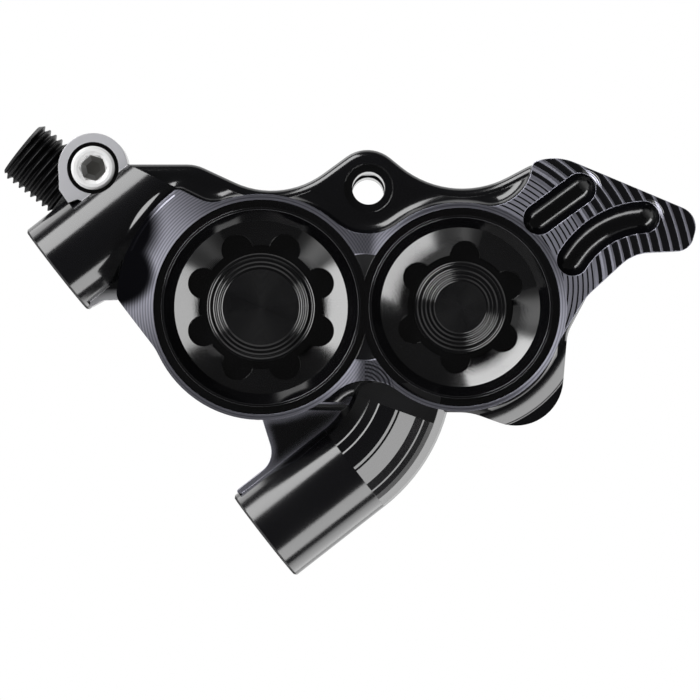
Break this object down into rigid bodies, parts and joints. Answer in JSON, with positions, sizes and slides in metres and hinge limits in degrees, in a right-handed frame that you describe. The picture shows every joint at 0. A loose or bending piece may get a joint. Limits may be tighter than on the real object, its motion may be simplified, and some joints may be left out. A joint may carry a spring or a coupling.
{
  "type": "bicycle disc brake caliper",
  "caption": "Flat-mount hydraulic bicycle disc brake caliper with opposed pistons, screwed bore caps, pads and a hose fitting.",
  "frame": {"origin": "midway between the two frame bolt holes, on the mounting face", "axes": "+Z away from the mounting face into the caliper, X along the line of the two bolt holes, +Y from the outboard side to the inboard side"},
  "size_m": [0.0547, 0.0379, 0.0537],
  "materials": {
    "anodised": "black anodised machined aluminium",
    "cap": "black anodised, finely turned",
    "steel": "stainless steel",
    "screw": "polished steel",
    "seal": "black rubber",
    "piston": "phenolic resin",
    "friction": "organic pad compound"
  },
  "bodies": {
    "housing": {"caliper_body": "anodised", "bore_cap_large": "cap", "bore_cap_small": "cap", "cap_seal_large": "seal", "cap_seal_small": "seal", "outer_piston_seal_large": "seal", "inner_piston_seal_large": "seal", "outer_piston_seal_small": "seal", "inner_piston_seal_small": "seal", "pad_spring": "steel", "hose_fitting": "anodised", "hose_fitting_seal": "seal", "crossover_plug": "steel", "bleed_screw_seal": "seal"},
    "outer_large_piston": {"outer_piston_large": "piston"},
    "outer_small_piston": {"outer_piston_small": "piston"},
    "outer_pad": {"outer_pad_backplate": "steel", "outer_pad_friction": "friction"},
    "inner_large_piston": {"inner_piston_large": "piston"},
    "inner_small_piston": {"inner_piston_small": "piston"},
    "inner_pad": {"inner_pad_backplate": "steel", "inner_pad_friction": "friction"},
    "bleed": {"bleed_screw": "screw"}
  },
  "joints": [
    {"name": "outer_large_piston_slide", "type": "slide", "parent": "housing", "child": "outer_large_piston", "axis": [0, 1, 0], "range_m": [0, 0.0012]},
    {"name": "outer_small_piston_slide", "type": "slide", "parent": "housing", "child": "outer_small_piston", "axis": [0, 1, 0], "range_m": [0, 0.0012]},
    {"name": "outer_pad_slide", "type": "slide", "parent": "housing", "child": "outer_pad", "axis": [0, 1, 0], "range_m": [0, 0.0012], "deforming": ["pad_spring"]},
    {"name": "inner_large_piston_slide", "type": "slide", "parent": "housing", "child": "inner_large_piston", "axis": [0, -1, 0], "range_m": [0, 0.0012]},
    {"name": "inner_small_piston_slide", "type": "slide", "parent": "housing", "child": "inner_small_piston", "axis": [0, -1, 0], "range_m": [0, 0.0012]},
    {"name": "inner_pad_slide", "type": "slide", "parent": "housing", "child": "inner_pad", "axis": [0, -1, 0], "range_m": [0, 0.0012]},
    {"name": "bleed_screw_turn", "type": "hinge", "parent": "housing", "child": "bleed", "pos_m": [-0.02282, -0.0033, 0.00929], "axis": [0, -1, 0], "range_deg": [0, 180]}
  ],
  "couplings": [
    {"joint": "outer_small_piston_slide", "follows": "outer_large_piston_slide", "ratio": 1},
    {"joint": "outer_pad_slide", "follows": "outer_large_piston_slide", "ratio": 1},
    {"joint": "inner_large_piston_slide", "follows": "outer_large_piston_slide", "ratio": 1},
    {"joint": "inner_small_piston_slide", "follows": "outer_large_piston_slide", "ratio": 1},
    {"joint": "inner_pad_slide", "follows": "outer_large_piston_slide", "ratio": 1}
  ]
}
